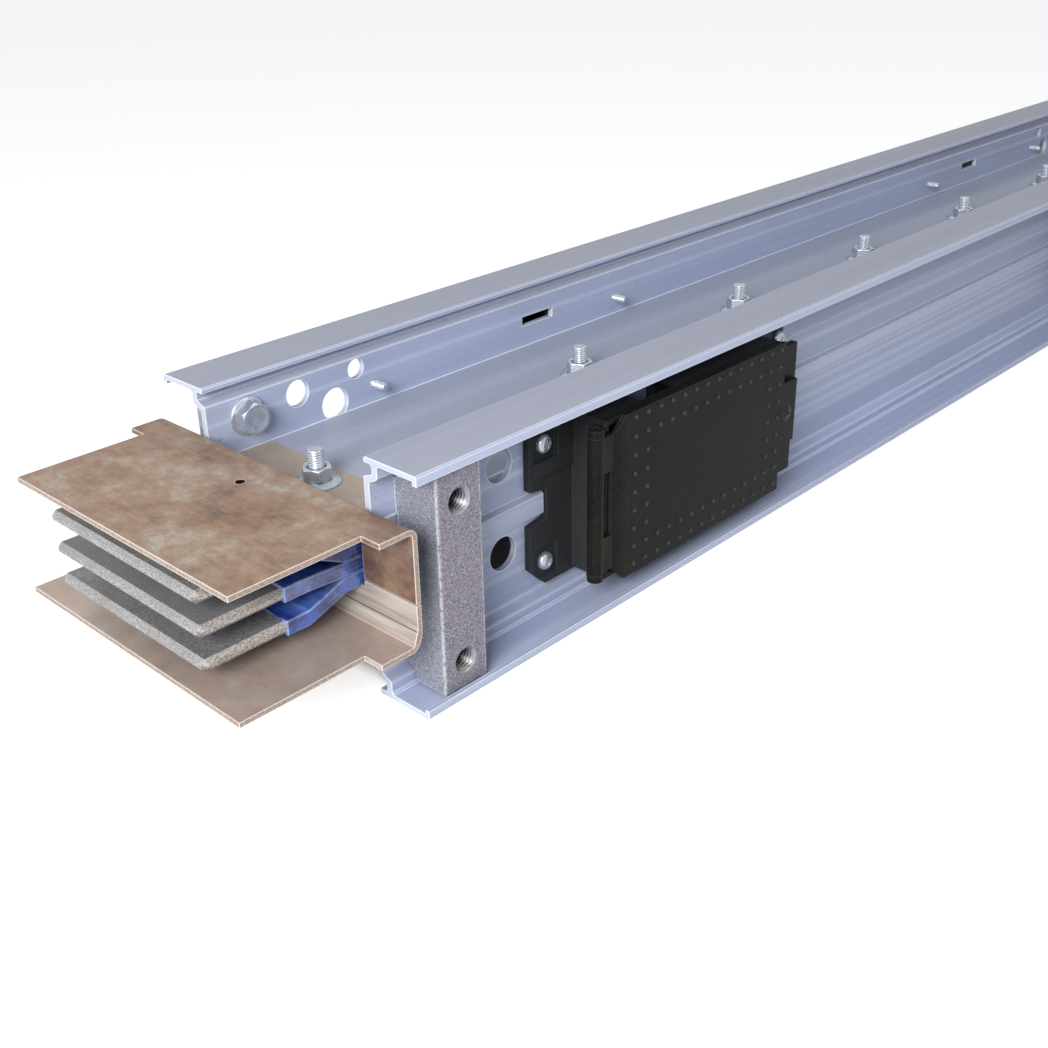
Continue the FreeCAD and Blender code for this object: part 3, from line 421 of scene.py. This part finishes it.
def plated_bar():
    """Dull grey plated metal with an etched grain, browner on the bevels of the long sides; painted shade on
    the tops and painted highlights on the upper bevels and edges.
    """
    g = Graph(bpy.data.materials.new("plated_bar"))
    grain = g.noise(1500.0, 4.0)
    cloud = g.noise(45.0, 4.0)
    above = g.upward(0.9, 0.99)
    bevel = g.maths("SUBTRACT", g.upward(0.2, 0.5), above)
    tone = g.ramp(grain, (0.36, (108, 108, 110)), (0.5, (148, 148, 150)), (0.64, (186, 185, 183)))
    tone = g.over(tone, (126, 124, 118), g.step(cloud, 0.45, 0.7), 0.5)
    # Painted shade on the tops and painted highlight on the upper bevels, by the way they face
    tone = g.over(tone, (92, 93, 96), above, 0.45)
    tone = g.over(tone, (160, 157, 152), bevel, 0.25)
    tone = g.over(tone, (196, 184, 172), g.square("Y", 0.4, 0.7), g.step(grain, 0.4, 0.62), 0.6)
    tone = g.over(tone, (104, 102, 100), g.square("Y", 0.2, 0.4), g.square("X", 0.2, 0.4), 0.75)
    # Painted highlight: light lines on the sharp edges
    tone = g.over(tone, (184, 184, 182), g.edges(0.5, 5.0), 0.25)
    return g.surface(Base_Color=tone, Metallic=0.35, Roughness=0.44, Normal=g.bump(grain, 0.55, 0.4, 0.5))


def insulation():
    """Deep blue epoxy, glossy, with a slightly uneven dipped surface and painted highlights on its rims."""
    g = Graph(bpy.data.materials.new("blue_insulation"))
    wave = g.noise(90.0, 2.0, (1.0, 0.4, 1.0))
    fine = g.noise(420.0)
    broken = g.noise(120.0, 2.0, (1.0, 0.4, 1.0))
    tone = g.mix(g.step(wave, 0.35, 0.65), (24, 44, 112), (56, 92, 178))
    # Painted highlight: pale blue streaks on the sharp rims
    tone = g.over(tone, (168, 192, 238), g.edges(1.4, 12.0), g.step(broken, 0.3, 0.5), 0.85)
    height = g.maths("ADD", wave, g.times(fine, 0.1))
    return g.surface(Base_Color=tone, Roughness=0.2, Coat_Weight=1.0, Coat_Roughness=0.04, Coat_IOR=1.7,
                     Normal=g.bump(height, 0.8, 4.0, 1.4))


def cast_metal():
    """Rough cast metal with a speckled grain, worn edges and painted light on its end faces."""
    g = Graph(bpy.data.materials.new("cast_metal"))
    grain = g.noise(2100.0, 3.0)
    coarse = g.noise(600.0, 3.0)
    tone = g.ramp(g.maths("ADD", g.times(grain, 0.85), g.times(coarse, 0.15)),
                  (0.36, (84, 80, 90)), (0.5, (130, 125, 137)), (0.64, (172, 168, 180)))
    # Painted light: the faces looking along X are made lighter and bluer
    end = g.ramp(grain, (0.36, (112, 119, 131)), (0.64, (182, 189, 200)))
    tone = g.over(tone, end, g.square("X", 0.6, 0.9), 0.7)
    tone = g.over(tone, (240, 241, 244), g.edges(2.4, 6.0), g.step(coarse, 0.3, 0.5))
    return g.surface(Base_Color=tone, Metallic=0.35, Roughness=0.48, Normal=g.bump(grain, 0.65, 0.5, 0.8))


def machined_metal():
    """Bright machined light metal, with painted shade darkening it down the bores."""
    g = Graph(bpy.data.materials.new("machined_metal"))
    turned = g.noise(900.0)
    tone = g.mix(turned, (120, 120, 124), (170, 170, 174))
    # Painted shade: nearly black deeper down the bores
    tone = g.mix(g.past("Y", BLOCK_FACE - 10.5, BLOCK_FACE - 0.3), (34, 34, 36), tone)
    return g.surface(Base_Color=tone, Metallic=0.6, Roughness=0.34, Normal=g.bump(turned, 0.1, 0.2, 0.2))


def black_plastic():
    """Satin black moulding with a fine spark texture, paler in the recess, with painted highlights on its
    edges and on the knob tops.
    """
    g = Graph(bpy.data.materials.new("black_plastic"))
    grain = g.noise(1300.0, 3.0)
    cloud = g.noise(30.0, 3.0)
    grit = g.noise(760.0)
    tone = g.mix(g.step(grain, 0.35, 0.68), (14, 14, 13), (32, 31, 29))
    tone = g.over(tone, (38, 35, 29), g.step(cloud, 0.45, 0.75), 0.4)
    tone = g.over(tone, (84, 80, 72), g.step(grit, 0.66, 0.74), 0.22)
    # Painted highlight: grey lines on the sharp edges
    tone = g.over(tone, (84, 87, 89), g.edges(0.7, 3.0), 0.6)
    tone = g.over(tone, (78, 82, 86), g.past("Y", DOOR_FACE - 4.5, DOOR_FACE - 10.5), 0.3)
    # Painted highlight: the tops of the knobs are made paler
    tone = g.over(tone, (72, 75, 78), g.past("Y", DOOR_FACE + 0.3, DOOR_FACE + 0.7), 0.7)
    rough = g.maths("ADD", 0.34, g.times(cloud, 0.14))
    return g.surface(Base_Color=tone, Roughness=rough, Specular_IOR_Level=0.07,
                     Normal=g.bump(grain, 0.3, 0.3, 0.5))


def zinc_steel():
    """Bright zinc on steel, faintly clouded."""
    g = Graph(bpy.data.materials.new("zinc_steel"))
    cloud = g.noise(260.0, 3.0)
    tone = g.mix(cloud, (150, 158, 170), (200, 207, 216))
    tone = g.over(tone, (240, 243, 248), g.edges(0.4, 4.0))
    rough = g.maths("ADD", 0.18, g.times(cloud, 0.2))
    return g.surface(Base_Color=tone, Metallic=0.7, Roughness=rough, Normal=g.bump(cloud, 0.1, 0.3, 0.3))


def dark_steel():
    """Blackened steel."""
    g = Graph(bpy.data.materials.new("dark_steel"))
    cloud = g.noise(500.0, 3.0)
    tone = g.mix(cloud, (18, 18, 18), (34, 34, 33))
    tone = g.over(tone, (84, 84, 82), g.edges(0.3, 3.0))
    return g.surface(Base_Color=tone, Metallic=0.2, Roughness=0.4, Specular_IOR_Level=0.2,
                     Normal=g.bump(cloud, 0.1, 0.3, 0.2))


LOOKS = {
    "rail_paint": rail_paint(),
    "plated_bar": plated_bar(),
    "blue_insulation": insulation(),
    "cast_metal": cast_metal(),
    "black_plastic": black_plastic(),
    "zinc_steel": zinc_steel(),
    "dark_steel": dark_steel(),
}
COVERS = {"top_cover": cover_sheet(False), "bottom_cover": cover_sheet(True)}
MACHINED = machined_metal()

slots = {part["node"]: part["material_slot"] for part in frame["record"]["subparts"]}
bodies = {node: body for body, nodes in frame["record"]["behaviour"]["bodies"].items() for node in nodes}
for name, node in frame["nodes"].items():
    node.data.materials.clear()
    node.data.materials.append(COVERS.get(name) or LOOKS[slots[name]])


# Mesh helpers: they work in millimetres in the row frame, and piece() makes metres of them

SHARP = math.radians(50.0)
WELD = 0.002
FLAT = math.radians(0.6)
OVERLAP = 0.2
SHORTEST_ROUNDED = 3.0
SHORTEST_MET = 1.6
ROWS_PER_TURN = 6
TIP_SLOPE = 0.6
CROWN_FACE = 0.475


def soft_normals(mesh):
    """A normal for each corner, from the faces there that turn by less than SHARP, by their area."""
    least = math.cos(SHARP)
    areas = {face: face.calc_area() for face in mesh.faces}
    normals = []
    for face in mesh.faces:
        for corner in face.loops:
            total = Vector((0.0, 0.0, 0.0))
            for other in corner.vert.link_faces:
                if other.normal.dot(face.normal) > least:
                    total += other.normal * areas[other]
            normals.append(total.normalized() if total.length > 0.0 else face.normal.copy())
    return normals


def piece(name, mesh, node, look=None):
    """Turn a bmesh into a piece that goes with a CAD node, in that node's look unless one is given."""
    data = bpy.data.meshes.new(name)
    mesh.normal_update()
    normals = soft_normals(mesh)
    mesh.to_mesh(data)
    mesh.free()
    data.transform(Matrix.Scale(MM, 4))
    data.shade_smooth()
    data.normals_split_custom_set(normals)
    made = bpy.data.objects.new(name, data)
    bpy.context.scene.collection.objects.link(made)
    data.materials.append(look or LOOKS[slots[node]])
    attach(made, bodies[node])
    return made


def home(number):
    """The turn from the front rail to the rail of that outlet or block."""
    return Matrix.Rotation(math.pi if SIDES[number] < 0.0 else 0.0, 4, "Z")


def taken(node, number=1):
    """A CAD node's mesh in millimetres, turned to the front rail, welded, with its flat faces whole."""
    mesh = bmesh.new()
    mesh.from_mesh(frame["nodes"][node].data)
    mesh.transform(Matrix.Scale(1.0 / MM, 4))
    bmesh.ops.remove_doubles(mesh, verts=mesh.verts, dist=WELD)
    bmesh.ops.dissolve_limit(mesh, angle_limit=FLAT, verts=mesh.verts, edges=mesh.edges)
    mesh.transform(home(number).inverted())
    return mesh


def rounded(mesh, radius, segments=2):
    """Round the outer edges that are long enough and meet no edge that is too short."""
    free = []
    for edge in mesh.edges:
        if len(edge.link_faces) != 2 or not edge.is_convex or edge.calc_face_angle() <= SHARP:
            continue
        met = [other.calc_length() for vert in edge.verts for other in vert.link_edges]
        if min(met) > SHORTEST_MET * radius and edge.calc_length() > SHORTEST_ROUNDED * radius:
            free.append(edge)
    bmesh.ops.bevel(mesh, geom=free, offset=radius, offset_type="OFFSET", segments=segments,
                    profile=0.5, affect="EDGES", clamp_overlap=True)


def ring_of(mesh, matrix, radius, height, sides):
    """One ring of points; the radius is a number or a rule by turn."""
    ring = []
    for k in range(sides):
        turn = math.tau * k / sides
        reach = radius(turn) if callable(radius) else radius
        point = Vector((reach * math.cos(turn), reach * math.sin(turn), height))
        ring.append(mesh.verts.new(matrix @ point))
    return ring


def skin(mesh, rings):
    """Faces between each ring and the next; they look away from the axis where the rings go up."""
    sides = len(rings[0])
    for low, high in zip(rings, rings[1:]):
        for k in range(sides):
            corners = [low[k], low[(k + 1) % sides], high[(k + 1) % sides], high[k]]
            corners = list(dict.fromkeys(corners))
            if len(corners) > 2:
                mesh.faces.new(corners)


def lathe(mesh, profile, matrix, sides, closed=False):
    """Turn (radius, height) points round the axis; a radius of nought closes the end."""
    rings = []
    for radius, height in profile:
        if radius == 0.0:
            rings.append([mesh.verts.new(matrix @ Vector((0.0, 0.0, height)))] * sides)
        else:
            rings.append(ring_of(mesh, matrix, radius, height, sides))
    skin(mesh, rings + rings[:1] if closed else rings)


def threaded(mesh, matrix, start, end, radius, pitch, depth, sides, tip=0.0):
    """A helical thread between two heights, its crests at a radius, tapered over the tip at its end."""
    steps = max(2, round(abs(end - start) / pitch * ROWS_PER_TURN))
    rows = []
    for row in range(steps + 1):
        height = start + (end - start) * row / steps
        taper = TIP_SLOPE * max(0.0, tip - abs(end - height))

        def reach(turn, height=height, taper=taper):
            ridge = abs((height / pitch - turn / math.tau) % 1.0 - 0.5) * 2.0
            return min(radius - depth * ridge, radius - taper)

        rows.append(ring_of(mesh, matrix, reach, height, sides))
    skin(mesh, rows)
    return rows


def screwed(mesh, matrix, start, end, **thread):
    """A thread that is closed at both ends."""
    rows = threaded(mesh, matrix, start, end, **thread)
    mesh.faces.new(rows[0][::-1])
    mesh.faces.new(rows[-1])


def along(x, y, z, way):
    """The matrix that puts an axis at a point, in the direction of way."""
    return Matrix.Translation((x, y, z)) @ Vector(way).to_track_quat("Z", "X").to_matrix().to_4x4()


def hexagonal(across_flats, limit=math.inf):
    """The radius of a hexagon by turn, no more than a limit."""
    def reach(turn):
        return min(across_flats / 2 / math.cos((turn % (math.tau / 6)) - math.tau / 12), limit)
    return reach


def crown(across_flats, height, upwards):
    """Rings of a hexagon's face, by height, whose corners are taken off at 30 degrees."""
    corner = across_flats / math.sqrt(3)
    face = CROWN_FACE * across_flats
    rings = []
    for share in (0.0, 0.2, 0.4, 0.6, 0.8, 1.0):
        drop = share * (corner - face) / math.sqrt(3)
        rings.append((hexagonal(across_flats, face + share * (corner - face)), height - upwards * drop))
    return rings[::-1] if upwards > 0 else rings


def star(wing, reach):
    """The radius of a cross recess by turn: half the width of a wing, and the wings' reach."""
    def outline(turn):
        away = abs((turn + math.tau / 8) % (math.tau / 4) - math.tau / 8)
        return min(reach, wing / max(math.sin(away), 0.01))
    return outline


# Outlets: moulded bases and doors with rounded edges, knobs round the doors' rims, pan-head screws

MOULDED_EDGE = 0.45
DISC_EDGE = 0.12
KNOB_COLUMNS = 14
KNOB_ROWS = 9
KNOB_START = -61.0
KNOB_TOP = 39.5
KNOB_PITCH = 9.6
KNOB_DROP = 9.9
KNOB = [(1.35, -0.1), (1.25, 0.3), (0.95, 0.62), (0.5, 0.82), (0.0, 0.88)]
PAN_HEAD = [(0.0, 0.0), (4.5, 0.0), (4.75, 0.2), (4.75, 1.1), (4.6, 1.7), (4.2, 2.3), (3.5, 2.8), (2.7, 3.1),
            (star(0.62, 2.2), 3.15), (star(0.5, 1.7), 1.9), (0.0, 1.5)]
PAN_THREAD = {"radius": 2.5, "pitch": 0.8, "depth": 0.4, "sides": 16, "tip": 1.2}
PAN_LENGTH = 14.7


def outlet_base(number):
    """The moulded base with its pockets, ledges and hinge ears."""
    node = "outlet_base_%d" % number
    mesh = taken(node, number)
    rounded(mesh, MOULDED_EDGE)
    mesh.transform(home(number))
    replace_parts(piece("moulded_base_%d" % number, mesh, node), node)


def outlet_door(number):
    """The door with two rings of small knobs round its rim."""
    node = "outlet_door_%d" % number
    mesh = taken(node, number)
    rounded(mesh, MOULDED_EDGE)
    for column in range(KNOB_COLUMNS):
        for row in range(KNOB_ROWS):
            if 1 < column < KNOB_COLUMNS - 2 and 1 < row < KNOB_ROWS - 2:
                continue
            x = OUTLETS[number] + KNOB_START + KNOB_PITCH * column
            z = MIDDLE + KNOB_TOP - KNOB_DROP * row
            lathe(mesh, KNOB, along(x, -DOOR_FACE, z, OUTWARD), 12)
    mesh.transform(home(number))
    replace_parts(piece("moulded_door_%d" % number, mesh, node), node)


def pan_screws(number):
    """The four screws of a base, with domed heads and cross recesses, each turned another way."""
    node = "outlet_screws_%d" % number
    mesh = bmesh.new()
    for x in (-SCREW_REACH, SCREW_REACH):
        for z in SCREW_HEIGHTS:
            spot = along(OUTLETS[number] + x, -SCREW_SEAT, z, OUTWARD)
            lathe(mesh, PAN_HEAD, spot @ Matrix.Rotation(0.4 * x + 0.9 * z, 4, "Z"), 48)
            screwed(mesh, spot, OVERLAP, -PAN_LENGTH, **PAN_THREAD)
    mesh.transform(home(number))
    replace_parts(piece("pan_screws_%d" % number, mesh, node), node)


def lock_screw(number):
    """The slotted disc at the door's free edge."""
    node = "door_screw_%d" % number
    mesh = taken(node, number)
    rounded(mesh, DISC_EDGE)
    mesh.transform(home(number))
    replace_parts(piece("lock_screw_%d" % number, mesh, node), node)


for number in SIDES:
    outlet_base(number)
    outlet_door(number)
    pan_screws(number)
    lock_screw(number)


# End blocks: worn castings with tapped bores, and the flange bolts that hold them from inside

CAST_EDGE = 0.7
BORE_MOUTH = 6.4
BORE_WALL = 5.3
BORE_REACH = 15.0
THREAD_START = 0.9
THREAD_END = 12.0
BORE_LEAD = [(BORE_MOUTH, 0.0), (5.4, -1.0)]
BORE_FOOT = [(6.0, -THREAD_END), (5.15, -THREAD_END), (0.0, -BORE_REACH)]
BORE_THREAD = {"radius": 6.0, "pitch": 1.75, "depth": 0.8, "sides": 40}
FLANGE = [(0.0, 0.0), (9.7, 0.0), (9.95, 0.3), (9.95, 1.0), (9.5, 1.5), (hexagonal(FLANGE_HEX), 2.1)]
FLANGE += crown(FLANGE_HEX, FLANGE_RISE, 1.0)
FLANGE += [(5.9, FLANGE_RISE), (5.3, FLANGE_RISE - 0.4), (0.0, FLANGE_RISE - 0.6)]
FLANGE_THREAD = {"radius": 5.0, "pitch": 1.5, "depth": 0.7, "sides": 20, "tip": 1.2}
FLANGE_LENGTH = 11.2


def cast_block(number):
    """The casting with rounded edges and its two tapped bores."""
    node = "end_block_%d" % number
    mesh = taken(node, number)
    bores = [(BLOCKS[number], height) for height in BORE_HEIGHTS]

    def near(vert):
        return min(bores, key=lambda bore: math.dist(bore, (vert.co.x, vert.co.z)))

    def in_bore(vert):
        deep = BORE_REACH - BLOCK_FACE
        return math.dist(near(vert), (vert.co.x, vert.co.z)) < BORE_WALL and vert.co.y < deep

    inner = [face for face in mesh.faces if all(in_bore(vert) for vert in face.verts)]
    bmesh.ops.delete(mesh, geom=inner, context="FACES")
    for vert in mesh.verts:
        if vert.is_boundary:
            x, z = near(vert)
            grown = BORE_MOUTH / math.dist((x, z), (vert.co.x, vert.co.z))
            vert.co.x = x + (vert.co.x - x) * grown
            vert.co.z = z + (vert.co.z - z) * grown
    rounded(mesh, CAST_EDGE)
    mesh.transform(home(number))
    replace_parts(piece("cast_block_%d" % number, mesh, node), node)

    threads = bmesh.new()
    for x, z in bores:
        spot = along(x, -BLOCK_FACE, z, OUTWARD)
        lathe(threads, BORE_LEAD, spot, 40)
        threaded(threads, spot, -THREAD_START, -THREAD_END, **BORE_THREAD)
        lathe(threads, BORE_FOOT, spot, 40)
    threads.transform(home(number))
    piece("bore_threads_%d" % number, threads, node, MACHINED)


def flange_bolts(number):
    """The two flanged bolts of a block, with dished heads behind the web."""
    node = "block_bolts_%d" % number
    mesh = bmesh.new()
    for z in FLANGE_HEIGHTS:
        spot = along(math.copysign(FLANGE_REACH, BLOCKS[number]), -WEB_BACK, z, INWARD)
        lathe(mesh, FLANGE, spot, 48)
        screwed(mesh, spot, OVERLAP, -FLANGE_LENGTH, **FLANGE_THREAD)
    mesh.transform(home(number))
    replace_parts(piece("flange_bolts_%d" % number, mesh, node), node)


for number in SIDES:
    cast_block(number)
    flange_bolts(number)


# Insulation: a dipped coat with soft edges

DIPPED_EDGE = 1.1

for number in range(1, 4):
    node = "insulation_%d" % number
    mesh = taken(node)
    rounded(mesh, DIPPED_EDGE, 3)
    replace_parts(piece("dipped_insulation_%d" % number, mesh, node), node)


# Clamp bolts through the covers, with dished washers and nuts

DOWNWARD = (0.0, 0.0, -1.0)
BOLT_HEAD = [(0.0, 0.0), (hexagonal(CLAMP_HEX), 0.0)] + crown(CLAMP_HEX, CLAMP_HEAD, 1.0)
BOLT_HEAD += [(5.0, CLAMP_HEAD), (4.5, CLAMP_HEAD - 0.3), (0.0, CLAMP_HEAD - 0.4)]
SHANK = [(0.0, STACK_LOW - OVERLAP), (3.9, STACK_LOW - OVERLAP), (3.9, STACK_TOP), (0.0, STACK_TOP)]
NUT = crown(CLAMP_HEX, WASHER_TOP, -1.0) + crown(CLAMP_HEX, NUT_TOP, 1.0)
NUT += [(4.9, NUT_TOP), (4.2, NUT_TOP - 0.7), (4.2, WASHER_TOP + 0.7), (4.9, WASHER_TOP)]
WASHER = [(11.1, STACK_TOP), (11.2, STACK_TOP + 0.15), (11.2, STACK_TOP + 0.6), (10.9, STACK_TOP + 0.9),
          (8.3, WASHER_TOP - 0.1), (7.9, WASHER_TOP), (4.6, WASHER_TOP), (4.4, WASHER_TOP - 0.2),
          (4.4, STACK_TOP)]
CLAMP_THREAD = {"radius": 4.0, "pitch": 1.25, "depth": 0.55, "sides": 24, "tip": 0.9}


def clamp(number, x):
    """One bolt with its head below, its nut and its washer."""
    spot = Matrix.Translation((x, 0.0, 0.0))
    mesh = bmesh.new()
    lathe(mesh, BOLT_HEAD, along(x, 0.0, STACK_LOW, DOWNWARD), 48)
    lathe(mesh, SHANK, spot, 24)
    screwed(mesh, spot, STACK_TOP - 1.0, BOLT_TOP, **CLAMP_THREAD)
    node = "clamp_bolt_%d" % number
    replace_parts(piece("threaded_bolt_%d" % number, mesh, node), node)

    mesh = bmesh.new()
    lathe(mesh, NUT, spot, 48, closed=True)
    node = "clamp_nut_%d" % number
    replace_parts(piece("hex_nut_%d" % number, mesh, node), node)

    mesh = bmesh.new()
    lathe(mesh, WASHER, spot, 48, closed=True)
    node = "clamp_washer_%d" % number
    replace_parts(piece("dished_washer_%d" % number, mesh, node), node)


for number, x in enumerate(CLAMPS, 1):
    clamp(number, x)
